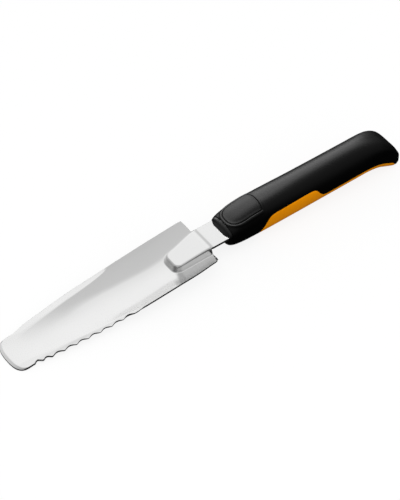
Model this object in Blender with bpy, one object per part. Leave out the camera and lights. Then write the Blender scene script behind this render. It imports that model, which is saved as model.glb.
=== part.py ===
"""Hori hori knife: a stamped scoop blade on a moulded two-colour handle. Metres, +Z up.

The knife lies with its scoop open upwards, tip towards -X and butt towards +X, resting on its tip
and on the flared butt. Its own axes are used to model it: x runs along the handle from the point
where the neck goes in, y is across, and z is height over the top of the neck. The empty called
knife then turns and lifts those axes so that the tool lies on z = 0.
"""

import math

import bpy
from mathutils import Vector

MM = 0.001
FIT_GAP = 0.3 * MM

# Blade
SHEET = 2.0 * MM
TIP_X = -183.2 * MM
BLADE_REAR_X = -16.6 * MM
BLADE_PITCH = math.tan(math.radians(4.0))
EDGE_REAR_Z = 1.0 * MM
BLADE_HALF = [(-183.2, 15.1), (-173.0, 15.6), (-160.0, 16.8), (-130.0, 19.7), (-99.0, 21.6), (-84.0, 22.3)]
BLADE_HALF += [(-60.0, 22.5), (-16.6, 22.4)]
TIP_CORNER_LENGTH = 9.0 * MM
TIP_CORNER_POWER = 2.6
SCOOP_DEPTH = [(-164.0, 0.0), (-150.0, 1.9), (-127.0, 4.4), (-88.0, 7.4), (-58.0, 9.1), (-40.0, 8.7), (-16.6, 6.4)]
SCOOP_WALL_SLOPE = 0.78
SCOOP_BOTTOM_SAG = 1.1 * MM
CORNER_SWEEP = 3.0 * MM
TOOTH_PITCH = 8.85 * MM
TOOTH_COUNT = 9
TOOTH_DEPTH = 1.4 * MM
TOOTH_START_X = -171.0 * MM
TOOTH_STEPS = 5
GROUND_WIDTH = 4.0 * MM
GROUND_EDGE = 0.2
GROUND_REAR_X = -84.0 * MM

# Tongue stamped up out of the scoop, then the neck and the tang
TONGUE_REAR_X = -18.2 * MM
TONGUE_FRONT_X = -44.8 * MM
TONGUE_REAR_Z = 0.8 * MM
TONGUE_PITCH = math.tan(math.radians(12.0))
TONGUE_REAR_HALF = 10.4 * MM
TONGUE_FRONT_HALF = 7.6 * MM
TONGUE_NOSE = 4.5 * MM
TONGUE_DRAFT = 2.4 * MM
NECK_HALF = 10.5 * MM
NECK_START_X = -14.6 * MM
TANG_HALF = 7.0 * MM
TANG_SHOULDER_X = 0.0 * MM
TANG_END_X = 72.0 * MM

# Handle
HANDLE_HALF = [(-2.4, 9.4), (0.0, 11.8), (8.0, 13.0), (20.0, 13.6), (40.0, 13.9), (100.0, 13.9)]
HANDLE_HALF += [(125.0, 13.6), (140.0, 13.0), (151.0, 12.6), (155.0, 11.8)]
HANDLE_TOP = [(-2.4, 1.5), (0.0, 4.2), (5.0, 7.2), (12.0, 9.6), (24.0, 11.4), (40.0, 11.8), (118.0, 11.8)]
HANDLE_TOP += [(131.0, 10.8), (141.0, 7.4), (148.0, 2.4), (153.0, -3.6), (155.0, -7.4)]
HANDLE_BOTTOM = [(-2.4, -7.6), (0.0, -11.6), (5.0, -14.0), (14.0, -15.0), (60.0, -15.4), (112.0, -15.2)]
HANDLE_BOTTOM += [(126.0, -15.1), (136.0, -16.5), (144.0, -19.2), (150.0, -21.3), (153.5, -21.7), (155.0, -20.0)]
HANDLE_STATIONS = [-2.4, -1.2, 0.0, 2.5, 5.0, 8.5, 12.0, 18.0, 24.0, 32.0, 40.0, 60.0, 85.0, 112.0, 120.0]
HANDLE_STATIONS += [127.0, 133.0, 138.5, 143.5, 147.5, 151.0, 153.5, 155.0]
HANDLE_MIDDLE_Z = -1.8 * MM
SECTION_POWER = [(-2.4, 2.6), (60.0, 2.4), (120.0, 2.4), (134.0, 2.8), (146.0, 3.8), (155.0, 4.6)]
SECTION_POINTS = 28
SHELL_WALL = 2.6 * MM
CAVITY_END_X = 144.0 * MM
COLLAR_NOSE_X = 1.5 * MM
CORE_START_X = 9.0 * MM

# Orange insert: its upper border in side view, from the front of the wing to the butt
INSERT_BORDER = [(22.5, -16.0), (25.5, -9.0), (29.0, -4.0), (32.5, 1.5), (36.5, 3.6), (44.0, 4.0), (62.0, 4.4)]
INSERT_BORDER += [(72.5, 4.2), (76.0, 2.8), (79.0, -1.8), (82.0, -5.0), (86.0, -6.0), (112.0, -5.8), (128.0, -6.6)]
INSERT_BORDER += [(137.0, -9.0), (145.0, -12.8), (151.0, -17.0), (154.2, -24.0)]

# Thumb panel: its outline from above
PANEL_FRONT_X = 3.4 * MM
PANEL_REAR_X = 29.0 * MM
PANEL_HALF = 9.4 * MM
PANEL_FLOOR_Z = 1.2 * MM

# Steel pins that lock the tang in the core
PIN_RADIUS = 2.0 * MM
PIN_HOLE_RADIUS = 2.3 * MM
PIN_SPOTS = (("tang_pin_front", 28.0 * MM), ("tang_pin_rear", 58.0 * MM))
PIN_HALF_LENGTH = 7.5 * MM

STEEL = ("stainless_steel", (0.80, 0.80, 0.79, 1.0), 0.28, 1.0)
PIN_STEEL = ("pin_steel", (0.55, 0.55, 0.56, 1.0), 0.35, 1.0)
BLACK = ("black_soft_plastic", (0.020, 0.020, 0.021, 1.0), 0.52, 0.0)
PANEL_BLACK = ("black_panel_plastic", (0.026, 0.026, 0.026, 1.0), 0.60, 0.0)
COLLAR_BLACK = ("black_hard_plastic", (0.016, 0.016, 0.017, 1.0), 0.38, 0.0)
CORE_GREY = ("dark_grey_core", (0.060, 0.060, 0.062, 1.0), 0.55, 0.0)
ORANGE = ("orange_soft_plastic", (0.80, 0.27, 0.01, 1.0), 0.50, 0.0)


def clear_scene():
    for obj in list(bpy.data.objects):
        bpy.data.objects.remove(obj, do_unlink=True)


def material(finish):
    name, colour, roughness, metallic = finish
    made = bpy.data.materials.new(name)
    made.use_nodes = True
    shader = made.node_tree.nodes["Principled BSDF"]
    shader.inputs["Base Color"].default_value = colour
    shader.inputs["Roughness"].default_value = roughness
    shader.inputs["Metallic"].default_value = metallic
    made.diffuse_color = colour
    return made


def solid(name, points, faces, finish=None, smooth_degrees=35.0):
    """A mesh object from points in the knife's own axes; with no finish it is a cutter."""
    mesh = bpy.data.meshes.new(name)
    mesh.from_pydata(points, [], faces)
    mesh.validate()
    mesh.update()
    obj = bpy.data.objects.new(name, mesh)
    bpy.context.scene.collection.objects.link(obj)
    if finish is None:
        obj.hide_render = True
        obj.display_type = "WIRE"
    else:
        mesh.materials.append(material(finish))
        mesh.shade_smooth()
        mesh.set_sharp_from_angle(angle=math.radians(smooth_degrees))
    return obj


def boolean(obj, other, operation="DIFFERENCE"):
    made = obj.modifiers.new(operation.lower(), "BOOLEAN")
    made.operation = operation
    made.solver = "EXACT"
    made.object = other


def between(table, x):
    """A smooth line through a short table of (x, value) pairs, read in millimetres at x metres."""
    at = x / MM
    if at <= table[0][0]:
        return table[0][1] * MM
    if at >= table[-1][0]:
        return table[-1][1] * MM
    last = len(table) - 1
    i = max(k for k in range(last) if table[k][0] <= at)
    slopes = []
    for k in (i, i + 1):
        before, after = max(k - 1, 0), min(k + 1, last)
        run = table[after][0] - table[before][0]
        slopes.append((table[after][1] - table[before][1]) / run)
    (x0, v0), (x1, v1) = table[i], table[i + 1]
    run = x1 - x0
    t = (at - x0) / run
    start = v0 * (2 * t**3 - 3 * t**2 + 1) + slopes[0] * run * (t**3 - 2 * t**2 + t)
    end = v1 * (3 * t**2 - 2 * t**3) + slopes[1] * run * (t**3 - t**2)
    return (start + end) * MM


def bridge_rows(rows):
    """Quads between rows of equal length, as lists of indices."""
    count = len(rows[0])
    faces = []
    for a, b in zip(rows, rows[1:]):
        faces += [(a[k], a[k + 1], b[k + 1], b[k]) for k in range(count - 1)]
    return faces


# ---------------------------------------------------------------- blade


def edge_height(x):
    return EDGE_REAR_Z + (x - BLADE_REAR_X) * BLADE_PITCH


def scoop_depth(x):
    return between(SCOOP_DEPTH, x)


def scoop_foot(x):
    """Distance from the middle to the foot of the scoop's side wall."""
    return between(BLADE_HALF, x) - scoop_depth(x) / SCOOP_WALL_SLOPE


def scoop_height(x, y):
    """Top of the sheet, without the tongue, with its slope across."""
    depth, foot = scoop_depth(x), scoop_foot(x)
    sag = min(SCOOP_BOTTOM_SAG, depth / 2)
    out = abs(y)
    if out < foot:
        return edge_height(x) - depth + sag * (out / foot) ** 2, 2 * sag * out / foot**2
    half = between(BLADE_HALF, x)
    slope = (depth - sag) / max(half - foot, MM)
    return edge_height(x) - depth + sag + (out - foot) * slope, slope


def tongue_half(x):
    """Half the width of the tongue's flat top; zero in front of its nose."""
    if x < TONGUE_FRONT_X:
        return 0.0
    share = (x - TONGUE_FRONT_X) / (TONGUE_REAR_X - TONGUE_FRONT_X)
    half = TONGUE_FRONT_HALF + (TONGUE_REAR_HALF - TONGUE_FRONT_HALF) * min(1.0, share)
    into_nose = min(1.0, (x - TONGUE_FRONT_X) / TONGUE_NOSE)
    return half * math.sqrt(1 - (1 - into_nose) ** 2)


def tongue_height(x):
    return TONGUE_REAR_Z + (x - TONGUE_REAR_X) * TONGUE_PITCH


def tooth(x):
    """How far the serration cuts in from the plain edge."""
    along = (x - TOOTH_START_X) / TOOTH_PITCH
    if not 0 < along < TOOTH_COUNT:
        return 0.0
    return TOOTH_DEPTH * math.sin(math.pi * (along % 1.0)) ** 0.8


def tip_setback(share):
    """How far the rounded tip falls back from its foremost line, at this share of the half width."""
    return TIP_CORNER_LENGTH * (1 - (1 - abs(share) ** TIP_CORNER_POWER) ** (1 / TIP_CORNER_POWER))


def blade_columns(x, cut):
    """Distances from the middle out to one edge, which the serration may cut in."""
    edge = between(BLADE_HALF, x) - cut
    tongue = max(tongue_half(x), 3.0 * MM)
    draft = tongue + TONGUE_DRAFT
    ground = edge - GROUND_WIDTH
    foot = min(max(scoop_foot(x), draft + 1.6 * MM), ground - 1.5 * MM)
    return [tongue * 0.5, tongue, draft, foot, ground, edge]


def blade_row(x):
    """One row across the sheet, near edge to far edge: (x, y, height, thickness share)."""
    plain = blade_columns(x, 0.0)
    near = [(-cut, d) for cut, d in zip(blade_columns(x, tooth(x)), plain)]
    far = [(d, d) for d in plain]
    half = plain[-1]
    from_tip = max(0.0, 1 - (x - TIP_X) / (26 * MM))
    row = []
    for y, out in near[::-1] + [(0.0, 0.0)] + far:
        share = out / half
        at = x + tip_setback(share) * from_tip - CORNER_SWEEP * share**4 * (x > BLADE_REAR_X - MM)
        height, slope = scoop_height(at, y)
        if out <= tongue_half(x) + 1e-6 and x >= TONGUE_FRONT_X:
            height, slope = tongue_height(x), 0.0
        ground = (out == half and x < GROUND_REAR_X) or x <= TIP_X
        left = GROUND_EDGE if ground else 1.0
        row.append((at, y, height - (1 - left) * SHEET * math.sqrt(1 + slope**2), left))
    return row


def blade_stations():
    rows = [TIP_X + d * MM for d in (0.0, 3.0, 6.0, 9.0)]
    teeth = TOOTH_COUNT * TOOTH_STEPS
    rows += [TOOTH_START_X + k * TOOTH_PITCH / TOOTH_STEPS for k in range(teeth + 1)]
    rows += [d * MM for d in (-84.0, -72.0, -60.0, -52.0, -46.4, -44.2, -43.0, -41.0, -37.0)]
    rows += [d * MM for d in (-30.0, -24.0, -20.0, -16.6)]
    return rows


def tang_rows():
    """(x, half width, top height) behind the blade: joggle, neck, shoulder and tang."""
    yield NECK_START_X, NECK_HALF, 0.0
    yield TANG_SHOULDER_X, NECK_HALF, 0.0
    yield TANG_SHOULDER_X + 1 * MM, TANG_HALF, 0.0
    yield TANG_END_X - 3 * MM, TANG_HALF, 0.0
    yield TANG_END_X, TANG_HALF - 3 * MM, 0.0


def make_blade():
    points, shares, rows = [], [], []
    for x in blade_stations():
        row = blade_row(x)
        rows.append(list(range(len(points), len(points) + len(row))))
        points += [(at, y, z) for at, y, z, _ in row]
        shares += [share for *_, share in row]
    faces = bridge_rows(rows)
    middle = len(rows[0]) // 2
    tongue = rows[-1][middle - 2 : middle + 3]
    tail = [tongue]
    for x, half, top in tang_rows():
        tail.append(list(range(len(points), len(points) + 5)))
        points += [(x, half * k / 2, top) for k in (-2, -1, 0, 1, 2)]
        shares += [1.0] * 5
    faces += bridge_rows(tail)
    obj = solid("blade", points, [tuple(reversed(f)) for f in faces], STEEL)
    group = obj.vertex_groups.new(name="thickness")
    for index, share in enumerate(shares):
        group.add([index], share, "REPLACE")
    sheet = obj.modifiers.new("sheet", "SOLIDIFY")
    sheet.thickness = SHEET
    sheet.offset = -1.0
    sheet.vertex_group = "thickness"
    for name, x in PIN_SPOTS:
        boolean(obj, pin_body(name + "_tang_hole", x, PIN_HOLE_RADIUS, None))
    return obj


# ---------------------------------------------------------------- handle


def section(x, inset):
    """Closed outline of the handle at x, set in by inset, as (y, z) pairs."""
    half = between(HANDLE_HALF, x) - inset
    top = between(HANDLE_TOP, x) - inset
    bottom = between(HANDLE_BOTTOM, x) + inset
    middle = min(HANDLE_MIDDLE_Z, top - 0.4 * (top - bottom))
    power = 2 / (between(SECTION_POWER, x) / MM)
    outline = []
    for k in range(SECTION_POINTS):
        turn = 2 * math.pi * (k + 0.5) / SECTION_POINTS
        across, up = math.cos(turn), math.sin(turn)
        y = half * math.copysign(abs(across) ** power, across)
        reach = top - middle if up > 0 else middle - bottom
        outline.append((y, middle + reach * math.copysign(abs(up) ** power, up)))
    return outline


def loft(name, stations, inset, finish=None):
    """A closed body through the handle's sections."""
    points, rings = [], []
    for x in stations:
        ring = section(x, inset)
        rings.append(list(range(len(points), len(points) + len(ring))))
        points += [(x, y, z) for y, z in ring]
    faces = [tuple(reversed(rings[0])), tuple(rings[-1])]
    for a, b in zip(rings, rings[1:]):
        for k in range(SECTION_POINTS):
            n = (k + 1) % SECTION_POINTS
            faces.append((a[k], a[n], b[n], b[k]))
    return solid(name, points, faces, finish)


def outer_stations():
    """The shell starts behind the collar's nose."""
    return [COLLAR_NOSE_X] + [x * MM for x in HANDLE_STATIONS if x * MM > COLLAR_NOSE_X]


def cavity_stations(start, end):
    inner = [x * MM for x in HANDLE_STATIONS if start < x * MM < end]
    return [start] + inner + [end]


def prism(name, outline, low, high, along_y):
    """A cutter from a closed outline: (x, z) points run along y, or (x, y) points run along z."""
    count = len(outline)
    place = (lambda u, v, w: (u, w, v)) if along_y else (lambda u, v, w: (u, v, w))
    points = [place(u, v, w) for w in (low, high) for u, v in outline]
    sides = [(k, (k + 1) % count, count + (k + 1) % count, count + k) for k in range(count)]
    faces = sides + [tuple(reversed(range(count))), tuple(range(count, 2 * count))]
    area = sum(a[0] * b[1] - b[0] * a[1] for a, b in zip(outline, outline[1:] + outline[:1]))
    if (area < 0) != along_y:
        faces = [tuple(reversed(f)) for f in faces]
    return solid(name, points, faces)


def insert_region(name, raise_by):
    """Everything below the orange insert's upper border."""
    border = [(x * MM, z * MM + raise_by) for x, z in INSERT_BORDER]
    border[0] = (border[0][0] - raise_by, border[0][1])
    border[-1] = (border[-1][0] + raise_by, border[-1][1])
    floor = -40 * MM
    outline = [(border[0][0], floor)] + border + [(border[-1][0], floor)]
    return prism(name, outline, -30 * MM, 30 * MM, True)


def panel_region(name, grow):
    """The thumb panel's outline from above: a round nose and a gently curved rear end."""
    half = PANEL_HALF + grow
    front = PANEL_FRONT_X - grow
    nose = 12 * MM
    steps = 10
    outline = []
    for k in range(steps + 1):
        turn = math.pi * k / steps
        x = front + nose * (1 - math.sin(turn) ** 0.8)
        outline.append((x, half * math.copysign(abs(math.cos(turn)) ** 0.75, math.cos(turn))))
    for share in (-1.0, -0.5, 0.0, 0.5, 1.0):
        rear = PANEL_REAR_X + grow + 1.5 * MM * (1 - share**2)
        outline.append((rear, share * half))
    return prism(name, outline, PANEL_FLOOR_Z - grow, 30 * MM, False)


def pin_body(name, x, radius, finish, half_length=20 * MM):
    sides = 16
    turns = [2 * math.pi * k / sides for k in range(sides)]
    ring = [(x + radius * math.cos(t), radius * math.sin(t)) for t in turns]
    points = [(u, v, z) for z in (-half_length, half_length) for u, v in ring]
    faces = [(k, (k + 1) % sides, sides + (k + 1) % sides, sides + k) for k in range(sides)]
    faces += [tuple(reversed(range(sides))), tuple(range(sides, 2 * sides))]
    return solid(name, points, faces, finish)


def box_cutter(name, low, high):
    outline = [(low[0], low[1]), (high[0], low[1]), (high[0], high[1]), (low[0], high[1])]
    return prism(name, outline, low[2], high[2], False)


def make_handle():
    """The shell, the insert and the thumb panel share one outer surface and close round the core."""
    cavity = loft("cavity", cavity_stations(-6 * MM, CAVITY_END_X), SHELL_WALL)
    insert_zone = insert_region("insert_zone", 0.0)
    insert_window = insert_region("insert_window", FIT_GAP)
    panel_zone = panel_region("panel_zone", 0.0)
    panel_window = panel_region("panel_window", FIT_GAP)

    shell = loft("grip_shell", outer_stations(), 0.0, BLACK)
    for cutter in (cavity, insert_window, panel_window):
        boolean(shell, cutter)

    insert = loft("grip_insert", outer_stations(), 0.0, ORANGE)
    boolean(insert, insert_zone, "INTERSECT")
    boolean(insert, cavity)

    panel = loft("thumb_panel", outer_stations(), 0.0, PANEL_BLACK)
    boolean(panel, panel_zone, "INTERSECT")
    boolean(panel, cavity)
    return [shell, insert, panel]


def make_collar():
    """The handle's nose round the neck, with a spigot that plugs the front of the shell."""
    nose_stations = cavity_stations(HANDLE_STATIONS[0] * MM, COLLAR_NOSE_X - FIT_GAP)
    collar = loft("front_collar", nose_stations, 0.0, COLLAR_BLACK)
    spigot_stations = cavity_stations(0.5 * MM, CORE_START_X - FIT_GAP)
    boolean(collar, loft("spigot", spigot_stations, SHELL_WALL + FIT_GAP), "UNION")
    low = (-10 * MM, -NECK_HALF - FIT_GAP, -SHEET - FIT_GAP)
    high = (TANG_SHOULDER_X + 1.2 * MM, NECK_HALF + FIT_GAP, FIT_GAP)
    boolean(collar, box_cutter("neck_slot", low, high))
    low = (0.0, -TANG_HALF - FIT_GAP, -SHEET - FIT_GAP)
    high = (20 * MM, TANG_HALF + FIT_GAP, FIT_GAP)
    boolean(collar, box_cutter("collar_tang_slot", low, high))
    return collar


def make_core():
    """Hard plastic body inside the shell, slotted for the tang and drilled for its pins."""
    stations = cavity_stations(CORE_START_X, CAVITY_END_X - FIT_GAP)
    core = loft("handle_core", stations, SHELL_WALL + FIT_GAP, CORE_GREY)
    low = (0.0, -TANG_HALF - FIT_GAP, -SHEET - FIT_GAP)
    high = (TANG_END_X + 1 * MM, TANG_HALF + FIT_GAP, FIT_GAP)
    boolean(core, box_cutter("tang_slot", low, high))
    for name, x in PIN_SPOTS:
        boolean(core, pin_body(name + "_core_hole", x, PIN_HOLE_RADIUS, None))
    return core


def make_pins():
    return [pin_body(name, x, PIN_RADIUS, PIN_STEEL, PIN_HALF_LENGTH) for name, x in PIN_SPOTS]


def corners_of(parts):
    """Lowest and highest corners of the finished parts in world space."""
    bpy.context.view_layer.update()
    graph = bpy.context.evaluated_depsgraph_get()
    places = []
    for obj in parts:
        made = obj.evaluated_get(graph)
        places += [made.matrix_world @ v.co for v in made.to_mesh().vertices]
        made.to_mesh_clear()
    low = Vector(min(p[k] for p in places) for k in range(3))
    high = Vector(max(p[k] for p in places) for k in range(3))
    return low, high


def lay_down(knife, parts):
    """Tilts the knife until tip and butt are level, then puts the middle of its box's base at 0."""
    butt_x, butt_z = min(((x * MM, z * MM) for x, z in HANDLE_BOTTOM), key=lambda spot: spot[1])
    tip_z = edge_height(TIP_X) - SHEET
    knife.rotation_euler = (0.0, math.atan2(butt_z - tip_z, butt_x - TIP_X), 0.0)
    low, high = corners_of(parts)
    knife.location = (-(low.x + high.x) / 2, -(low.y + high.y) / 2, -low.z)


def main():
    clear_scene()
    parts = [make_blade(), make_collar(), make_core(), *make_handle(), *make_pins()]
    knife = bpy.data.objects.new("knife", None)
    bpy.context.scene.collection.objects.link(knife)
    for obj in bpy.data.objects:
        if obj is not knife:
            obj.parent = knife
    lay_down(knife, parts)


main()
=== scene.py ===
"""Hori hori knife: a stamped stainless scoop blade on a moulded black and orange handle."""

import math

import bmesh
import bpy
import numpy as np
from mathutils import Matrix, Vector


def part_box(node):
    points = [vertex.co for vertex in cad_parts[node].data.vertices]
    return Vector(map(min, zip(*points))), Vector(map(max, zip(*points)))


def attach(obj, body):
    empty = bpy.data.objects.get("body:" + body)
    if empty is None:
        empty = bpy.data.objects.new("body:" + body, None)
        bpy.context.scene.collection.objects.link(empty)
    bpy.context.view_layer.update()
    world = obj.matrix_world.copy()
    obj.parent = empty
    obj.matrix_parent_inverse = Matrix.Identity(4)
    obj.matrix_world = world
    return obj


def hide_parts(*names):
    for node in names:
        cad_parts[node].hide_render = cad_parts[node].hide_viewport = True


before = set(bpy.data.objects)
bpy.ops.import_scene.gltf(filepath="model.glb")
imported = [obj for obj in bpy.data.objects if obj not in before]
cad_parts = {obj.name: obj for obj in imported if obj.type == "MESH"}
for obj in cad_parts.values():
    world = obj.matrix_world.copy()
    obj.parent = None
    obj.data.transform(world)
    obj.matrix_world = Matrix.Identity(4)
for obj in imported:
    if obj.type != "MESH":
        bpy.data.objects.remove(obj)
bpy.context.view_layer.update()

# ---------------------------------------------------------------- tang pins
# Two plain steel pins that lock the tang inside the handle's core. Nothing of them shows, so the
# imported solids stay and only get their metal. They sit on the knife's own long axis, 28 and 58 mm
# behind the point where the neck goes in, so the axes that every other piece is built in come from them.
MM = 0.001
FRONT_PIN_X = 28.0


def middle_of(node):
    low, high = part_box(node)
    return (low + high) / 2


front_pin = middle_of("tang_pin_front")
along = (middle_of("tang_pin_rear") - front_pin).normalized()
across = Vector((0.0, 1.0, 0.0))
upward = along.cross(across)
knife_axes = Matrix.Translation(front_pin - along * FRONT_PIN_X * MM)
knife_axes = knife_axes @ Matrix((along, across, upward)).transposed().to_4x4()


def add_node(tree, kind, inputs=(), **settings):
    """A node with its settings, and its inputs as (socket, value or the output that feeds it)."""
    node = tree.nodes.new(kind)
    for key, value in settings.items():
        setattr(node, key, value)
    for key, value in inputs:
        if isinstance(value, bpy.types.NodeSocket):
            tree.links.new(value, node.inputs[key])
        else:
            node.inputs[key].default_value = value
    return node


def start_group(name, inputs, outputs):
    """An empty shader group with float inputs, and its own input and output nodes."""
    group = bpy.data.node_groups.new(name, "ShaderNodeTree")
    for label, value in inputs:
        socket = group.interface.new_socket(label, in_out="INPUT", socket_type="NodeSocketFloat")
        socket.default_value = value
    for label in outputs:
        group.interface.new_socket(label, in_out="OUTPUT", socket_type="NodeSocketFloat")
    return group, group.nodes.new("NodeGroupInput").outputs, group.nodes.new("NodeGroupOutput").inputs


def make_drawn_grain():
    """Fine lines drawn along the metal, and the cloudy marks that polishing leaves."""
    group, given, out = start_group(
        "drawn_grain", [("Lines per metre", 900.0), ("Clouds per metre", 30.0)], ["Lines", "Clouds"]
    )
    place = add_node(group, "ShaderNodeTexCoord").outputs["Object"]
    stretched = add_node(group, "ShaderNodeVectorMath", [(0, place), (1, (0.03, 1.0, 1.0))], operation="MULTIPLY")
    lines = add_node(
        group,
        "ShaderNodeTexNoise",
        [("Vector", stretched.outputs[0]), ("Scale", given["Lines per metre"]), ("Detail", 3.0)],
    )
    clouds = add_node(
        group,
        "ShaderNodeTexNoise",
        [("Vector", place), ("Scale", given["Clouds per metre"]), ("Detail", 4.0), ("Roughness", 0.55)],
    )
    group.links.new(lines.outputs["Fac"], out["Lines"])
    group.links.new(clouds.outputs["Fac"], out["Clouds"])
    return group


drawn_grain = make_drawn_grain()


def start_material(name, colour, roughness, metallic=0.0):
    """A Principled material with plain values, and its tree and shader."""
    made = bpy.data.materials.new(name)
    made.use_nodes = True
    shader = made.node_tree.nodes["Principled BSDF"]
    shader.inputs["Base Color"].default_value = (*colour, 1.0)
    shader.inputs["Roughness"].default_value = roughness
    shader.inputs["Metallic"].default_value = metallic
    made.diffuse_color = (*colour, 1.0)
    return made, made.node_tree, shader


def spread(tree, value, low, high):
    """Turns a 0 to 1 value into one between low and high."""
    return add_node(
        tree, "ShaderNodeMapRange", [("Value", value), ("To Min", low), ("To Max", high)]
    ).outputs["Result"]


def make_pin_steel():
    made, tree, shader = start_material("pin_steel", (0.55, 0.55, 0.56), 0.35, 1.0)
    grain = add_node(tree, "ShaderNodeGroup", node_tree=drawn_grain)
    tree.links.new(spread(tree, grain.outputs["Lines"], 0.28, 0.44), shader.inputs["Roughness"])
    return made


pin_steel = make_pin_steel()
for pin_name in ("tang_pin_front", "tang_pin_rear"):
    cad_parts[pin_name].material_slots[0].material = pin_steel

# ---------------------------------------------------------------- blade
# One stamping of stainless sheet: the scoop, the raised tongue that stiffens it, the short neck and
# the hidden tang. Both long edges and the tip are ground on top, and the near edge is scalloped.
SHEET = 2.0
TIP_X = -183.2
REAR_X = -16.6
LIP_REAR_Z = 1.0
LIP_SLOPE = math.tan(math.radians(4.0))
BLADE_HALF = [(-183.2, 15.1), (-173, 15.1), (-165, 16.2), (-157, 17.3), (-147, 18.3), (-131, 19.8), (-115, 21.0)]
BLADE_HALF += [(-99, 21.6), (-89, 22.2), (-80, 22.6), (-51, 23.0), (-36, 23.1), (-16.6, 22.6)]
BLADE_MIDDLE = [(-183.2, -0.9), (-150, -1.0), (-125, -0.7), (-104, -0.7), (-84, -0.9), (-51, -0.5)]
BLADE_MIDDLE += [(-36, -0.4), (-24, 0.0)]
SCOOP_DEPTH = [(-183.2, 0.1), (-172, 0.35), (-164, 0.65), (-150, 1.5), (-138, 2.7), (-127, 3.9), (-110, 5.4)]
SCOOP_DEPTH += [(-88, 7.3), (-58, 8.8), (-40, 8.3), (-16.6, 6.4)]
WALL_SLOPE = [(-183.2, 0.03), (-164, 0.08), (-150, 0.17), (-140, 0.27), (-130, 0.38), (-120, 0.50), (-108, 0.64)]
WALL_SLOPE += [(-92, 0.78), (-16.6, 0.78)]
BOTTOM_SAG = 1.1
WALL_BEND = 4.2
TIP_ROUND = 9.0
TIP_POWER = 2.6
TIP_FADE = 26.0
CORNER_SWEEP = 3.0
CORNER_START_X = -22
TONGUE_FRONT_X = -44.8
TONGUE_REAR_X = -18.2
TONGUE_REAR_Z = 0.8
TONGUE_SLOPE = math.tan(math.radians(12.0))
TONGUE_WIDTH = [(-183.2, 5.5), (-44.8, 7.6), (-18.2, 10.4), (-16.6, 10.4)]
TONGUE_CORNER = 4.0
TONGUE_DRAFT = 2.3
TONGUE_EDGE = 2.2
TONGUE_FOOT = 1.5
JOGGLE = (-19.6, -14.2)
NECK_HALF = 10.5
TANG_HALF = 7.0
TOOTH_START_X = -175.3
TOOTH_PITCH = 9.33
TOOTH_COUNT = 9
TOOTH_DEPTH = 2.0
TOOTH_SOFTNESS = 0.2
TOOTH_BACKING = 0.5
TOOTHED = (-180, -174, -90, -85)
GROUND_WIDTH = [(-183.2, 5.6), (-160, 5.4), (-148, 4.8), (-137, 4.3), (-125, 3.8), (-112, 3.45), (-101, 2.75)]
GROUND_WIDTH += [(-93.5, 2.15), (-90, 1.8), (-86.5, 1.2), (-85, 0.6), (-84, 0.02)]
GROUND_REAR_X = -84
GROUND_TILT = 0.02
GROUND_LEAN = 0.7
GROUND_LEAN_LIMIT = 2.5
TIP_GROUND = 2.3
TIP_GROUND_SLOPE = 0.36
EDGE_LEFT = 0.7
EDGE_ROUND = ((0.12, 0.10), (0.35, 0.14), (0.65, 0.14), (0.88, 0.10))


def curve(table, x):
    """A smooth line through a short table of (x, value) pairs, for an array of x."""
    at, value = np.array(table, float).T
    x = np.clip(np.asarray(x, float), at[0], at[-1])
    slopes = np.empty_like(value)
    slopes[1:-1] = (value[2:] - value[:-2]) / (at[2:] - at[:-2])
    slopes[0] = (value[1] - value[0]) / (at[1] - at[0])
    slopes[-1] = (value[-1] - value[-2]) / (at[-1] - at[-2])
    i = np.clip(np.searchsorted(at, x, side="right") - 1, 0, len(at) - 2)
    run = at[i + 1] - at[i]
    t = (x - at[i]) / run
    start = value[i] * (2 * t**3 - 3 * t**2 + 1) + slopes[i] * run * (t**3 - 2 * t**2 + t)
    return start + value[i + 1] * (3 * t**2 - 2 * t**3) + slopes[i + 1] * run * (t**3 - t**2)


def soft_max(a, b, blend):
    """The higher of two heights, rounded over where they are less than blend apart."""
    near = np.maximum(blend - np.abs(a - b), 0.0) / blend
    return np.maximum(a, b) + near**2 * blend / 4


def ease(low, high, x):
    t = np.clip((x - low) / (high - low), 0.0, 1.0)
    return t * t * (3 - 2 * t)


def lip_height(x):
    return LIP_REAR_Z + (x - REAR_X) * LIP_SLOPE


def scoop_surface(x, out, drop):
    """Height of the scoop at a distance out from its middle, with the sheet's underside drop lower."""
    half, depth = curve(BLADE_HALF, x), curve(SCOOP_DEPTH, x)
    slope = curve(WALL_SLOPE, x)
    wall = lip_height(x) - (half - out) * slope - drop * np.sqrt(1 + slope**2)
    foot = np.maximum(half - depth / slope, 4.0)
    sag = BOTTOM_SAG * depth / np.hypot(2 * BOTTOM_SAG, depth)
    bottom = lip_height(x) - depth + sag * np.minimum(out / foot, 1.6) ** 2 - drop
    return soft_max(wall, bottom, np.minimum(WALL_BEND, 0.6 * depth) + 0.01)


def tongue_surface(x, y, drop):
    """The tongue's top, its drafted walls, and the joggle down to the neck."""
    top = TONGUE_REAR_Z + (x - TONGUE_REAR_X) * TONGUE_SLOPE
    top = top * (1 - ease(*JOGGLE, x)) - drop
    ahead = TONGUE_FRONT_X + TONGUE_CORNER - x
    beside = np.abs(y) - (curve(TONGUE_WIDTH, np.maximum(x, TONGUE_FRONT_X)) - TONGUE_CORNER)
    outside = np.hypot(np.maximum(ahead, 0), np.maximum(beside, 0))
    away = outside + np.minimum(np.maximum(ahead, beside), 0) - TONGUE_CORNER
    thick = drop * math.sqrt(1 + TONGUE_DRAFT**2) - drop
    return -soft_max(-top, -(top - away * TONGUE_DRAFT - thick), TONGUE_EDGE + 0.4 * drop)


def tooth_cut(x):
    """How far the serration cuts in from the plain edge."""
    turn = (x - TOOTH_START_X) / TOOTH_PITCH
    cut = TOOTH_DEPTH * (np.hypot(np.sin(np.pi * turn), TOOTH_SOFTNESS) - TOOTH_SOFTNESS)
    return np.where((turn > 0) & (turn < TOOTH_COUNT), cut, 0.0)


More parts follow.
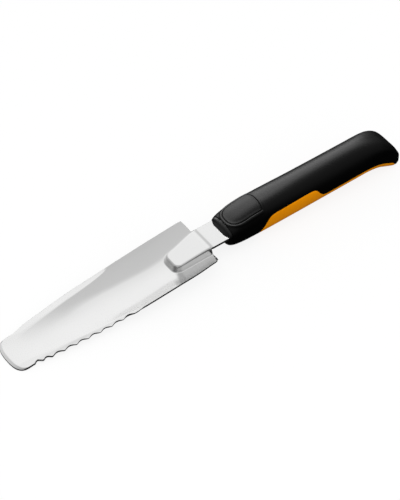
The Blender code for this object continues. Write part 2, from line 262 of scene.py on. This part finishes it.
def blade_stations():
    tip = TIP_X + np.array([0, 0.25, 0.6, 1.1, 1.7, 2.2, 2.6, 3.2, 4, 5, 6.2])
    teeth = TOOTH_START_X + np.arange(TOOTH_COUNT * 14 + 1) * TOOTH_PITCH / 14
    open_scoop = np.linspace(-90.6, -51, 36)
    nose = np.linspace(-50.4, -37, 46)
    rear = np.linspace(-36.3, -19.6, 26)
    return np.concatenate([tip, teeth, open_scoop, nose, rear, REAR_X - np.array([2.2, 1.5, 0.9, 0.45, 0.15, 0])])


def blade_fractions():
    """Column positions on one side, each as (band, share across the band)."""
    bands = [(0, 9), (1, 5), (2, 12), (3, 22), (4, 7)]
    places = [(band, (k + 1) / count) for band, count in bands for k in range(count)]
    return places + [(5, 0.5), (5, 1.0)]


def blade_columns(x, cut):
    """Distances out from the middle to every column on one side, at every station."""
    edge = curve(BLADE_HALF, x) - cut
    width = curve(TONGUE_WIDTH, x)
    ground = np.minimum(curve(GROUND_WIDTH, x) + 0.35, 5.0)
    stops = [0 * x, width - 1.0, width + 0.1, width + 2.9, edge - ground, edge - 0.3, edge]
    return np.array([stops[b] + (stops[b + 1] - stops[b]) * f for b, f in blade_fractions()]).T


def blade_grid():
    """Top and underside of the sheet as arrays of points, and how much each top point is ground."""
    x = blade_stations()
    plain = blade_columns(x, 0 * x)
    near = -blade_columns(x, tooth_cut(x))[:, ::-1]
    y = np.hstack([near, 0 * x[:, None], plain])
    half = curve(BLADE_HALF, x)[:, None]
    share = np.abs(np.hstack([plain[:, ::-1], 0 * x[:, None], plain])) / half
    inward = np.minimum(share, 1.0) ** TIP_POWER
    setback = TIP_ROUND * (1 - (1 - inward * 0.9995) ** (1 / TIP_POWER))
    from_tip = np.clip(1 - (x - TIP_X) / TIP_FADE, 0, 1)[:, None]
    swept = CORNER_SWEEP * share**4 * ease(CORNER_START_X, REAR_X, x)[:, None]
    at = x[:, None] + setback * from_tip - swept
    to_edge = half - np.abs(y)
    side_ground = np.maximum(curve(GROUND_WIDTH, at) - to_edge, 0) * (at < GROUND_REAR_X)
    tip_ground = np.maximum(TIP_GROUND - (x - TIP_X)[:, None] - 0 * y, 0)
    ground = np.maximum(side_ground, tip_ground)
    lowered = np.maximum(side_ground * (curve(WALL_SLOPE, at) - GROUND_TILT), tip_ground * TIP_GROUND_SLOPE)
    scoop = scoop_surface(at, np.abs(y), 0.0)
    top = soft_max(scoop, tongue_surface(at, y, 0.0), TONGUE_FOOT) - lowered

    lean = np.sin(np.arctan(curve(WALL_SLOPE, x)))[:, None]
    toothed = ease(*TOOTHED[:2], at) * (1 - ease(*TOOTHED[2:], at)) * (y < 0)
    under_y = y * (1 - SHEET * lean * (1 - toothed) / half)
    under = soft_max(
        scoop_surface(at, np.abs(under_y), SHEET), tongue_surface(at, under_y, SHEET), TONGUE_FOOT
    )
    edge_left = EDGE_LEFT + TOOTH_BACKING * toothed * np.minimum(to_edge, 1.0)
    under = np.minimum(under, top - edge_left)
    shift = curve(BLADE_MIDDLE, at)
    leant = np.minimum(side_ground * curve(WALL_SLOPE, at), GROUND_LEAN_LIMIT)
    shift = shift + GROUND_LEAN * leant * (y > 0)
    upper = np.stack([at, y + shift, top], -1)
    lower = np.stack([at, under_y + shift, under], -1)
    return upper, lower, ground


def neck_grid(width_columns):
    """The neck and tang behind the scoop, with the same columns as the tongue's top."""
    x = np.array([-16.0, -15.5, -15.0, -14.6, -14.2, -12, -8, -4, -1, 0, 1.0, 8, 40, 69, 70.5, 72])
    half = np.array([NECK_HALF] * 10 + [TANG_HALF] * 4 + [TANG_HALF - 1.2, TANG_HALF - 3])
    y = half[:, None] * width_columns[None, :]
    top = (TONGUE_REAR_Z + (x - TONGUE_REAR_X) * TONGUE_SLOPE) * (1 - ease(*JOGGLE, x))
    upper = np.stack([x[:, None] + 0 * y, y, top[:, None] + 0 * y], -1)
    return upper, upper - np.array([0, 0, SHEET])


def mesh_from(name, points, faces, smooth=True):
    """A mesh object from points in the knife's own axes, in millimetres."""
    mesh = bpy.data.meshes.new(name)
    placed = np.asarray(points, float) * MM @ np.array(knife_axes.to_3x3()).T + np.array(knife_axes.translation)
    mesh.from_pydata(placed.tolist(), [], faces)
    mesh.validate()
    mesh.update()
    if smooth:
        mesh.shade_smooth()
    made = bpy.data.objects.new(name, mesh)
    bpy.context.scene.collection.objects.link(made)
    return made


def make_blade():
    upper, lower, ground = blade_grid()
    rows, columns = upper.shape[:2]
    side = len(blade_fractions())
    tongue_columns = 14
    first, last = side - tongue_columns, side + tongue_columns
    shares = upper[-1, first : last + 1, 1] / upper[-1, last, 1]
    neck_upper, neck_lower = neck_grid(shares)
    count = rows * columns
    neck_count = neck_upper.shape[0] * neck_upper.shape[1]
    points = np.vstack([a.reshape(-1, 3) for a in (upper, neck_upper, lower, neck_lower)])
    scoop_ids = np.arange(count).reshape(rows, columns)
    neck_ids = count + np.arange(neck_count).reshape(neck_upper.shape[:2])
    neck_ids = np.vstack([scoop_ids[-1, first : last + 1], neck_ids])
    under = count + neck_count

    def quads(ids):
        a, b, c, d = ids[:-1, :-1], ids[1:, :-1], ids[1:, 1:], ids[:-1, 1:]
        return np.stack([a, b, c, d], -1).reshape(-1, 4)

    top_faces = np.vstack([quads(scoop_ids), quads(neck_ids)])
    outline = list(scoop_ids[::-1, 0]) + list(scoop_ids[0, 1:]) + list(scoop_ids[1:, -1])
    outline += list(scoop_ids[-1, last:-1][::-1])[:-1] + list(neck_ids[:, -1])
    outline += list(neck_ids[-1, :-1][::-1]) + list(neck_ids[:-1, 0][::-1])[:-1]
    outline += list(scoop_ids[-1, 1 : first + 1][::-1])
    outline = np.array(outline)
    rings = [outline]
    extra = []
    total = 2 * under
    upper_line, lower_line = points[outline], points[outline + under]
    centre = np.roll(upper_line, 1, 0) - np.roll(upper_line, -1, 0)
    outward = np.cross(upper_line - lower_line, centre)
    outward /= np.linalg.norm(outward, axis=1)[:, None]
    for share, bulge in EDGE_ROUND:
        thick = np.linalg.norm(upper_line - lower_line, axis=1)[:, None] / SHEET
        extra.append(upper_line * (1 - share) + lower_line * share + outward * bulge * thick)
        rings.append(total + np.arange(len(outline)))
        total += len(outline)
    rings.append(outline + under)
    edge_faces = []
    for a, b in zip(rings, rings[1:]):
        edge_faces.append(np.stack([a, np.roll(a, -1), np.roll(b, -1), b], -1))
    faces = np.vstack([top_faces, top_faces[:, ::-1] + under, *edge_faces])
    made = mesh_from("blade_fine", np.vstack([points, *extra]), faces.tolist())
    mask = np.zeros(len(made.data.vertices))
    mask[:count] = np.clip(ground.reshape(-1) / 0.15, 0, 1)
    made.data.attributes.new("ground", "FLOAT", "POINT").data.foreach_set("value", mask)
    cleaned = bmesh.new()
    cleaned.from_mesh(made.data)
    bmesh.ops.recalc_face_normals(cleaned, faces=cleaned.faces)
    cleaned.to_mesh(made.data)
    cleaned.free()
    return made


def make_blade_steel():
    """Bright satin stainless, with an even, slightly rougher finish where it is ground."""
    made, tree, shader = start_material("blade_stainless", (0.88, 0.88, 0.875), 0.2, 1.0)
    grain = add_node(tree, "ShaderNodeGroup", [("Lines per metre", 6000.0)], node_tree=drawn_grain)
    ground = add_node(tree, "ShaderNodeAttribute", attribute_name="ground").outputs["Fac"]
    satin = spread(tree, grain.outputs["Clouds"], 0.17, 0.27)
    rough = add_node(tree, "ShaderNodeMix", [(0, ground), (2, satin), (3, 0.3)]).outputs[0]
    tree.links.new(rough, shader.inputs["Roughness"])
    lines = add_node(
        tree,
        "ShaderNodeBump",
        [("Strength", 0.012), ("Distance", 0.0001), ("Height", grain.outputs["Lines"])],
    )
    tree.links.new(lines.outputs["Normal"], shader.inputs["Normal"])
    shade = add_node(
        tree,
        "ShaderNodeMix",
        [(0, grain.outputs["Clouds"]), (6, (0.84, 0.84, 0.84, 1)), (7, (0.92, 0.92, 0.915, 1))],
        data_type="RGBA",
    )
    tree.links.new(shade.outputs[2], shader.inputs["Base Color"])
    return made


blade = make_blade()
blade.data.materials.append(make_blade_steel())
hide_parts("blade")
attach(blade, "root")

# ---------------------------------------------------------------- core
# The hard grey plastic body that is moulded round the tang and carries the outer skins. It is
# closed in on all sides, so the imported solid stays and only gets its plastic.


def make_moulded_skin():
    """The fine spark-eroded texture of a moulding, and the faint blotches where the melt cooled."""
    group, given, out = start_group(
        "moulded_skin", [("Grains per metre", 2600.0), ("Blotches per metre", 60.0)], ["Grain", "Blotches"]
    )
    place = add_node(group, "ShaderNodeTexCoord").outputs["Object"]
    grain = add_node(
        group,
        "ShaderNodeTexNoise",
        [("Vector", place), ("Scale", given["Grains per metre"]), ("Detail", 2.0), ("Roughness", 0.6)],
    )
    blotches = add_node(
        group, "ShaderNodeTexNoise", [("Vector", place), ("Scale", given["Blotches per metre"]), ("Detail", 3.0)]
    )
    group.links.new(grain.outputs["Fac"], out["Grain"])
    group.links.new(blotches.outputs["Fac"], out["Blotches"])
    return group


moulded_skin = make_moulded_skin()
PLASTIC_IOR = 1.5


def make_plastic(name, dark, light, smoothest, roughest, grains, bump, gloss=0.5):
    """Moulded plastic between two shades and two roughnesses, with a fine grain."""
    middle = [(a + b) / 2 for a, b in zip(dark, light)]
    made, tree, shader = start_material(name, middle, (smoothest + roughest) / 2)
    shader.inputs["Specular IOR Level"].default_value = gloss
    shader.inputs["IOR"].default_value = PLASTIC_IOR
    skin = add_node(tree, "ShaderNodeGroup", [("Grains per metre", grains)], node_tree=moulded_skin)
    shade = add_node(
        tree,
        "ShaderNodeMix",
        [(0, skin.outputs["Blotches"]), (6, (*dark, 1)), (7, (*light, 1))],
        data_type="RGBA",
    )
    tree.links.new(shade.outputs[2], shader.inputs["Base Color"])
    tree.links.new(spread(tree, skin.outputs["Grain"], smoothest, roughest), shader.inputs["Roughness"])
    texture = add_node(
        tree, "ShaderNodeBump", [("Strength", bump), ("Distance", 0.0001), ("Height", skin.outputs["Grain"])]
    )
    tree.links.new(texture.outputs["Normal"], shader.inputs["Normal"])
    return made


core_plastic = make_plastic("core_plastic", (0.05, 0.05, 0.052), (0.07, 0.07, 0.072), 0.5, 0.6, 1500.0, 0.2)
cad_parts["handle_core"].material_slots[0].material = core_plastic

# ---------------------------------------------------------------- front collar
# A black moulded nose that closes the front of the handle round the flat neck, and plugs into the
# shell behind it.
HANDLE_HALF = [(-2.4, 9.4), (0, 11.8), (8, 13), (20, 13.6), (40, 13.9), (100, 13.9), (125, 13.6), (140, 13)]
HANDLE_HALF += [(151, 12.6), (155, 11.8)]
HANDLE_TOP = [(-2.4, 0.8), (-1.2, 2.3), (0, 4.0), (5, 7.2), (12, 9.6), (24, 11.4), (40, 11.9), (118, 11.9)]
HANDLE_TOP += [(131, 10.8), (141, 7.4), (148, 2.4), (153, -3.6), (155, -7.4)]
HANDLE_BOTTOM = [(-2.4, -7.6), (0, -11.6), (5, -14), (14, -15), (60, -15.4), (112, -15.2), (126, -15.1)]
HANDLE_BOTTOM += [(136, -16.5), (144, -19.2), (150, -21.3), (153.5, -21.7), (155, -20)]
TOP_POWER = [(-2.4, 2.6), (20, 2.55), (45, 2.3), (70, 2.05), (120, 2.05), (134, 2.5), (146, 3.4), (155, 4.4)]
SIDE_POWER = [(-2.4, 2.6), (60, 2.4), (120, 2.4), (134, 2.8), (146, 3.8), (155, 4.6)]
HANDLE_MIDDLE_Z = -1.8
NOSE_END_X = 1.2
SKIN_WALL = 2.6
FIT_GAP = 0.3


def handle_sections(x, points, inset=0.0):
    """Closed outlines of the handle at every x: an array of (x, y, z) points."""
    x = np.asarray(x, float)[:, None]
    half = curve(HANDLE_HALF, x) - inset
    top, bottom = curve(HANDLE_TOP, x) - inset, curve(HANDLE_BOTTOM, x) + inset
    middle = np.minimum(HANDLE_MIDDLE_Z, top - 0.4 * (top - bottom))
    turn = 2 * np.pi * (np.arange(points)[None, :] + 0.5) / points
    c, s = np.cos(turn), np.sin(turn)
    power = 2 / np.where(s > 0, curve(TOP_POWER, x), curve(SIDE_POWER, x))
    y = half * np.sign(c) * np.abs(c) ** power
    reach = np.where(s > 0, top - middle, middle - bottom)
    return np.stack([x + 0 * y, y, middle + reach * np.sign(s) * np.abs(s) ** power], -1)


def tube_faces(rings, points, closed_ends):
    faces = []
    for r in range(rings - 1):
        for k in range(points):
            n = (k + 1) % points
            faces.append((r * points + k, r * points + n, (r + 1) * points + n, (r + 1) * points + k))
    if closed_ends:
        faces.append(tuple(reversed(range(points))))
        faces.append(tuple(range((rings - 1) * points, rings * points)))
    return faces


def cut_with(piece, cutter, operation="DIFFERENCE"):
    """Applies a Boolean and removes its cutter."""
    step = piece.modifiers.new(operation.lower(), "BOOLEAN")
    step.operation, step.solver, step.object = operation, "EXACT", cutter
    graph = bpy.context.evaluated_depsgraph_get()
    result = bpy.data.meshes.new_from_object(piece.evaluated_get(graph))
    piece.modifiers.clear()
    piece.data = result
    bpy.data.objects.remove(cutter, do_unlink=True)


def block(name, low, high):
    spots = [(x, y, z) for z in (low[2], high[2]) for y in (low[1], high[1]) for x in (low[0], high[0])]
    return mesh_from(
        name,
        spots,
        [(0, 2, 3, 1), (4, 5, 7, 6), (0, 1, 5, 4), (2, 6, 7, 3), (0, 4, 6, 2), (1, 3, 7, 5)],
        smooth=False,
    )


def make_collar():
    nose_x = np.concatenate([[-2.4, -2.35, -2.2], np.linspace(-2.0, NOSE_END_X, 12)])
    nose = handle_sections(nose_x, 120)
    made = mesh_from("collar_fine", nose.reshape(-1, 3), tube_faces(len(nose_x), 120, True))
    plug = handle_sections([0.5, 3, 6, 8.7], 64, SKIN_WALL + FIT_GAP)
    cut_with(made, mesh_from("plug", plug.reshape(-1, 3), tube_faces(4, 64, True)), "UNION")
    deep = -SHEET - FIT_GAP
    cut_with(made, block("neck_slot", (-9, -NECK_HALF - FIT_GAP, deep), (1.2, NECK_HALF + FIT_GAP, FIT_GAP)))
    cut_with(made, block("tang_slot", (0, -TANG_HALF - FIT_GAP, deep), (20, TANG_HALF + FIT_GAP, FIT_GAP)))
    made.data.shade_smooth()
    made.data.set_sharp_from_angle(angle=math.radians(40))
    return made


collar = make_collar()
collar.data.materials.append(
    make_plastic("collar_plastic", (0.0008, 0.0008, 0.0008), (0.0012, 0.0012, 0.0012), 0.26, 0.34, 3000.0, 0.06, 0.45)
)
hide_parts("front_collar")
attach(collar, "root")

# ---------------------------------------------------------------- grip shell, orange insert and thumb panel
# Three skins moulded to one outer surface and snapped round the core: the black shell with its
# flared butt, the orange insert that wraps the underside with a wing up each side, and the small
# textured panel that the thumb rests on. Their edges are rolled over where they meet.
SHELL_START_X = 1.5
SHELL_POINTS = 168
INSERT_BORDER = [(22.5, -16), (25.5, -9), (29, -4), (32.5, 0.9), (36.5, 2.9), (44, 3.3), (62, 3.6), (72.5, 3.5)]
INSERT_BORDER += [(76, 2.2), (79, -1.8), (82, -5), (86, -6), (112, -5.8), (128, -6.6), (137, -9), (145, -12.8)]
INSERT_BORDER += [(151, -17), (154.2, -24)]
PANEL_FRONT_X = 3.4
PANEL_REAR_X = 29.0
PANEL_HALF = 9.4
PANEL_NOSE = 12.0
PANEL_FLOOR_Z = 1.2
PANEL_DISH = 0.35
DISH_REACH = 2.0
RIM_RISE = 0.45
RIM_OUT = 1.2
RIM_SPREAD = 0.75
RIM_FADE = (24, 36)
SEAM_HALF = 0.12
LIP_RADIUS = 0.45
LEVEL_SNAP = 0.05
ON_LEVEL = 1e-4


def panel_outline():
    """The thumb panel from above: a round nose and a gently curved rear end."""
    turns = np.linspace(0, np.pi, 41)
    c, s = np.cos(turns), np.sin(turns)
    nose = np.stack([PANEL_FRONT_X + PANEL_NOSE * (1 - s**0.8), PANEL_HALF * np.sign(c) * np.abs(c) ** 0.75], -1)
    share = np.linspace(-1, 1, 15)
    rear = np.stack([PANEL_REAR_X + 1.5 * (1 - share**2), PANEL_HALF * share], -1)
    return np.vstack([nose, rear])


def insert_outline():
    """The insert in side view: everything below its border."""
    at = np.array(INSERT_BORDER, float)
    spread_x = np.linspace(at[0, 0], at[-1, 0], 400)
    border = np.stack([spread_x, curve(INSERT_BORDER, spread_x)], -1)
    return np.vstack([[(at[0, 0] - 6, -40)], border, [(at[-1, 0] + 4, -40)]])


def inside_distance(spots, outline):
    """Distance of each flat spot inside a closed outline, negative outside it."""
    a, b = outline, np.roll(outline, -1, 0)
    best = np.full(len(spots), 1e9)
    crossings = np.zeros(len(spots), int)
    for (ax, ay), (bx, by) in zip(a, b):
        ex, ey = bx - ax, by - ay
        length = ex * ex + ey * ey
        if length < 1e-12:
            continue
        px, py = spots[:, 0] - ax, spots[:, 1] - ay
        t = np.clip((px * ex + py * ey) / length, 0, 1)
        best = np.minimum(best, np.hypot(px - t * ex, py - t * ey))
        straddles = (ay > spots[:, 1]) != (by > spots[:, 1])
        with np.errstate(divide="ignore", invalid="ignore"):
            crosses = spots[:, 0] < ex * (spots[:, 1] - ay) / (ey if ey else 1e-12) + ax
        crossings += straddles & crosses
    return np.where(crossings % 2 == 1, best, -best)


def in_panel(points):
    flat = inside_distance(points[:, :2], panel_outline())
    return np.where(points[:, 2] > PANEL_FLOOR_Z, flat, -np.abs(flat) - 0.01)


def in_insert(points):
    return inside_distance(points[:, [0, 2]], insert_outline())


def shell_stations():
    front = np.arange(SHELL_START_X, 36, 0.45)
    middle = np.arange(36.2, 122, 0.9)
    butt = np.concatenate([np.arange(122.5, 151, 0.6), np.arange(151.3, 155, 0.25), [155.0]])
    return np.concatenate([front, middle, butt])


def split_at(work, values, level):
    """Cuts every face where a value kept on the vertices passes a level, always in the same order."""
    key = work.verts.layers.float[values]
    for vert in work.verts:
        if abs(vert[key] - level) < LEVEL_SNAP:
            vert[key] = level
    crossed = []
    for edge in list(work.edges):
        a, b = (v[key] - level for v in edge.verts)
        if a * b < 0 and min(abs(a), abs(b)) > ON_LEVEL:
            start = edge.verts[0]
            _, made = bmesh.utils.edge_split(edge, start, a / (a - b))
            crossed.append(made)
    on_level = dict.fromkeys(crossed + [v for v in work.verts if abs(v[key] - level) <= ON_LEVEL])
    for face in dict.fromkeys(f for v in on_level for f in v.link_faces):
        ends = [v for v in face.verts if v in on_level]
        if len(ends) != 2:
            continue
        if any(e.other_vert(ends[0]) is ends[1] for e in ends[0].link_edges):
            continue
        bmesh.utils.face_split(face, ends[0], ends[1])


def outer_skin():
    """The handle's whole outer surface, split along the borders of the insert and the panel."""
    stations = shell_stations()
    sections = handle_sections(stations, SHELL_POINTS)
    butt = sections[-1]
    middle = butt.mean(0)
    caps = [middle + (butt - middle) * k + np.array([0.12 * (1 - k), 0, 0]) for k in (0.93, 0.75, 0.45, 0.15)]
    rings = np.vstack([sections.reshape(-1, 3), *caps])
    faces = tube_faces(len(stations) + len(caps), SHELL_POINTS, False)
    count = len(rings)
    faces.append(tuple(range(count - SHELL_POINTS, count)))
    work = bmesh.new()
    verts = [work.verts.new(p) for p in rings]
    for face in faces:
        work.faces.new([verts[k] for k in face])
    panel = work.verts.layers.float.new("panel")
    insert = work.verts.layers.float.new("insert")
    for vert, a, b in zip(work.verts, in_panel(rings), in_insert(rings)):
        vert[panel], vert[insert] = a, b
    for name in ("insert", "panel"):
        for level in (0.0, 0.14, -0.14, 0.3, -0.3, 0.6, -0.6, 1.0, -1.0):
            split_at(work, name, level)
    return work


def rolled(distance):
    """How far a skin drops within one lip radius of its border."""
    near = np.clip((LIP_RADIUS - distance) / LIP_RADIUS, 0, 1)
    return LIP_RADIUS * (1 - np.sqrt(1 - near**2 * 0.96))


def skin_piece(name, skin, keep, border, dish=0.0, rim=0.0):
    """One skin out of the whole surface, with rolled edges and its thickness inwards."""
    work = skin.copy()
    work.faces.ensure_lookup_table()
    panel, insert = work.verts.layers.float["panel"], work.verts.layers.float["insert"]
    gone = []
    for face in work.faces:
        a = sum(v[panel] for v in face.verts) / len(face.verts)
        b = sum(v[insert] for v in face.verts) / len(face.verts)
        if not keep(a, b):
            gone.append(face)
    bmesh.ops.delete(work, geom=gone, context="FACES")
    work.normal_update()
    points = np.array([v.co for v in work.verts])
    normals = np.array([v.normal for v in work.verts])
    a = np.array([v[panel] for v in work.verts])
    b = np.array([v[insert] for v in work.verts])
    distance = border(a, b)
    points = points - normals * (rolled(distance) + dish * ease(0, DISH_REACH, distance))[:, None]
    beside = np.exp(-(((-a - RIM_OUT) / RIM_SPREAD) ** 2)) * (points[:, 2] > PANEL_FLOOR_Z)
    points = points + normals * (rim * beside * (1 - ease(*RIM_FADE, points[:, 0])))[:, None]
    index = {v: k for k, v in enumerate(work.verts)}
    faces = [[index[v] for v in f.verts] for f in work.faces]
    work.free()
    made = mesh_from(name, points, faces)
    thick = made.modifiers.new("wall", "SOLIDIFY")
    thick.thickness, thick.offset = (SKIN_WALL - 0.2) * MM, -1.0
    return made


skin = outer_skin()
shell = skin_piece(
    "shell_fine", skin, lambda a, b: a < 0 and b < 0, lambda a, b: np.minimum(-a, -b) - SEAM_HALF, rim=RIM_RISE
)
insert = skin_piece("insert_fine", skin, lambda a, b: b > 0, lambda a, b: b - SEAM_HALF)
panel = skin_piece("panel_fine", skin, lambda a, b: a > 0, lambda a, b: a - SEAM_HALF, PANEL_DISH)
skin.free()
shell.data.materials.append(
    make_plastic("shell_plastic", (0.0008, 0.0008, 0.0008), (0.0012, 0.0012, 0.0012), 0.36, 0.46, 2600.0, 0.08, 0.13)
)
insert.data.materials.append(
    make_plastic("insert_plastic", (0.82, 0.27, 0.0), (0.88, 0.30, 0.0), 0.42, 0.52, 2600.0, 0.05, 0.04)
)
panel.data.materials.append(
    make_plastic("panel_plastic", (0.0010, 0.0010, 0.0010), (0.0015, 0.0015, 0.0015), 0.40, 0.52, 1800.0, 0.12, 0.13)
)
for piece, node, slot in (
    (shell, "grip_shell", "black_soft_plastic"),
    (insert, "grip_insert", "orange_soft_plastic"),
    (panel, "thumb_panel", "black_panel_plastic"),
):
    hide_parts(node)
    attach(piece, "root")

# ---------------------------------------------------------------- floor, light and camera
# A plain pale floor under a soft, bright sky that is lightest behind the knife. The near side stays
# dark in reflections, as with black cards on that side of a studio table.
FLOOR_SIZE = 6.0
FLOOR_GLOW = 0.86


def mix_rays(tree, share, first, second):
    """Mixes two shaders by a share, or by what kind of ray it is."""
    return add_node(tree, "ShaderNodeMixShader", [(0, share), (1, first.outputs[0]), (2, second.outputs[0])])


def make_floor():
    mesh = bpy.data.meshes.new("floor")
    s = FLOOR_SIZE / 2
    mesh.from_pydata([(-s, -s, 0), (s, -s, 0), (s, s, 0), (-s, s, 0)], [], [(0, 1, 2, 3)])
    made = bpy.data.objects.new("floor", mesh)
    bpy.context.scene.collection.objects.link(made)
    paint = bpy.data.materials.new("pale_floor")
    paint.use_nodes = True
    tree = paint.node_tree
    tree.nodes.remove(tree.nodes["Principled BSDF"])
    path = add_node(tree, "ShaderNodeLightPath")
    lit = add_node(tree, "ShaderNodeBsdfDiffuse", [("Color", (0.95, 0.95, 0.95, 1))])
    glow = add_node(tree, "ShaderNodeEmission", [("Color", (1, 1, 1, 1)), ("Strength", 1.0)])
    seen = mix_rays(tree, FLOOR_GLOW, lit, glow)
    dark = add_node(tree, "ShaderNodeEmission", [("Color", (0.012, 0.012, 0.012, 1))])
    bounce = add_node(tree, "ShaderNodeEmission", [("Color", (0.35, 0.35, 0.35, 1))])
    unseen = mix_rays(tree, path.outputs["Is Diffuse Ray"], dark, bounce)
    shown = mix_rays(tree, path.outputs["Is Camera Ray"], unseen, seen)
    tree.links.new(shown.outputs[0], tree.nodes["Material Output"].inputs["Surface"])
    mesh.materials.append(paint)
    return made


SKY_BEHIND = [(-0.62, 0.07), (-0.50, 0.17), (-0.42, 0.40), (-0.24, 0.56), (-0.08, 0.61), (0.50, 0.63)]
SKY_BEHIND += [(0.66, 0.78), (0.84, 0.98)]
SKY_ENDS = [(-0.96, 0.25), (-0.82, 0.72), (-0.32, 0.75), (-0.08, 1.0), (0.5, 1.0), (0.78, 0.6), (0.92, 0.1)]


def add_grey_ramp(tree, value, stops):
    """A smooth ramp of greys over a value that runs from -1 to 1."""
    share = add_node(tree, "ShaderNodeMapRange", [("Value", value), ("From Min", -1.0), ("From Max", 1.0)])
    ramp = add_node(tree, "ShaderNodeValToRGB", [("Fac", share.outputs["Result"])])
    elements = ramp.color_ramp.elements
    elements[0].position, elements[0].color = (stops[0][0] + 1) / 2, (*[stops[0][1]] * 3, 1)
    elements[1].position, elements[1].color = (stops[-1][0] + 1) / 2, (*[stops[-1][1]] * 3, 1)
    for at, grey in stops[1:-1]:
        elements.new((at + 1) / 2).color = (grey, grey, grey, 1)
    return ramp.outputs["Color"]


def make_sky():
    """Soft light from all round; reflections see it brightest high up and behind the knife."""
    sky = bpy.data.worlds.new("studio_sky")
    sky.use_nodes = True
    sky.cycles.sampling_method = "NONE"
    tree = sky.node_tree
    path = add_node(tree, "ShaderNodeLightPath")
    towards = add_node(tree, "ShaderNodeTexCoord").outputs["Generated"]
    behind = add_node(
        tree, "ShaderNodeVectorMath", [(0, towards), (1, (0.15, 0.80, 0.45))], operation="DOT_PRODUCT"
    )
    rise = add_grey_ramp(tree, behind.outputs["Value"], SKY_BEHIND)
    endwise = add_node(tree, "ShaderNodeSeparateXYZ", [("Vector", towards)]).outputs["X"]
    ends = add_grey_ramp(tree, endwise, SKY_ENDS)
    both = add_node(tree, "ShaderNodeMath", [(0, rise), (1, ends)], operation="MULTIPLY").outputs[0]
    mirror = add_node(tree, "ShaderNodeBackground", [("Color", both), ("Strength", 1.0)])
    soft = add_node(tree, "ShaderNodeBackground", [("Color", (1, 1, 1, 1)), ("Strength", 0.9)])
    plain = add_node(tree, "ShaderNodeBackground", [("Color", (1, 1, 1, 1)), ("Strength", 0.97)])
    unseen = mix_rays(tree, path.outputs["Is Diffuse Ray"], mirror, soft)
    shown = mix_rays(tree, path.outputs["Is Camera Ray"], unseen, plain)
    output = tree.nodes.get("World Output") or add_node(tree, "ShaderNodeOutputWorld")
    tree.links.new(shown.outputs[0], output.inputs["Surface"])
    bpy.context.scene.world = sky


CAMERA_AZIMUTH = -36.4
CAMERA_ELEVATION = 48.7
CAMERA_DISTANCE = 1500.0
CAMERA_LENS = 152.28
CAMERA_SENSOR = 36.0
NECK_IN_FRAME = (21.5, 21.3)
FRAME_LENS = 2115.0


def make_camera():
    """Looks at the neck from the serrated side; placed in the knife's own axes."""
    a, e = math.radians(CAMERA_AZIMUTH), math.radians(CAMERA_ELEVATION)
    back = Vector((math.sin(a) * math.cos(e), -math.cos(a) * math.cos(e), math.sin(e)))
    right = Vector((math.cos(a), math.sin(a), 0.0))
    up = back.cross(right)
    scale = CAMERA_DISTANCE / FRAME_LENS
    target = -right * NECK_IN_FRAME[0] * scale - up * NECK_IN_FRAME[1] * scale
    place = (target + back * CAMERA_DISTANCE) * MM
    camera = bpy.data.objects.new("camera", bpy.data.cameras.new("camera"))
    camera.data.lens = CAMERA_LENS
    camera.data.sensor_width = CAMERA_SENSOR
    camera.data.clip_start = 0.05
    bpy.context.scene.collection.objects.link(camera)
    turn = Matrix((right, up, back)).transposed().to_4x4()
    camera.matrix_world = knife_axes @ (Matrix.Translation(place) @ turn)
    bpy.context.scene.camera = camera


KEY_SIZE = (1.6, 1.0)
KEY_POWER = 6.0
KEY_PLACE = (-0.2, -0.3, 1.6)


def make_key_light():
    """A large soft box high up behind the knife, seen in no reflection."""
    light = bpy.data.lights.new("soft_box", "AREA")
    light.shape, light.energy = "RECTANGLE", KEY_POWER
    light.size, light.size_y = KEY_SIZE
    box = bpy.data.objects.new("soft_box", light)
    box.location = KEY_PLACE
    box.rotation_euler = (-box.location).to_track_quat("-Z", "Y").to_euler()
    box.visible_glossy = False
    bpy.context.scene.collection.objects.link(box)


HANDLE_BOX_SIZE = (1.3, 1.1)
HANDLE_BOX_POWER = 31.0
HANDLE_BOX_AIM = (80, 0, 10)
HANDLE_BOX_SIDE = (0.10, 0.72, 0.66)


def make_handle_light():
    """A second soft box for the top of the black plastic alone."""
    light = bpy.data.lights.new("handle_box", "AREA")
    light.shape, light.energy = "RECTANGLE", HANDLE_BOX_POWER
    light.size, light.size_y = HANDLE_BOX_SIZE
    box = bpy.data.objects.new("handle_box", light)
    over = knife_axes @ (Vector(HANDLE_BOX_AIM) * MM)
    towards = (knife_axes.to_3x3() @ Vector(HANDLE_BOX_SIDE)).normalized()
    box.location = over + towards
    box.rotation_euler = (-towards).to_track_quat("-Z", "Y").to_euler()
    bpy.context.scene.collection.objects.link(box)
    lit = bpy.data.collections.new("lit_by_handle_box")
    for piece in (shell, panel, collar):
        lit.objects.link(piece)
    box.light_linking.receiver_collection = lit


floor = make_floor()
make_handle_light()
make_sky()
make_key_light()
make_camera()
bpy.context.scene.view_settings.view_transform = "Standard"
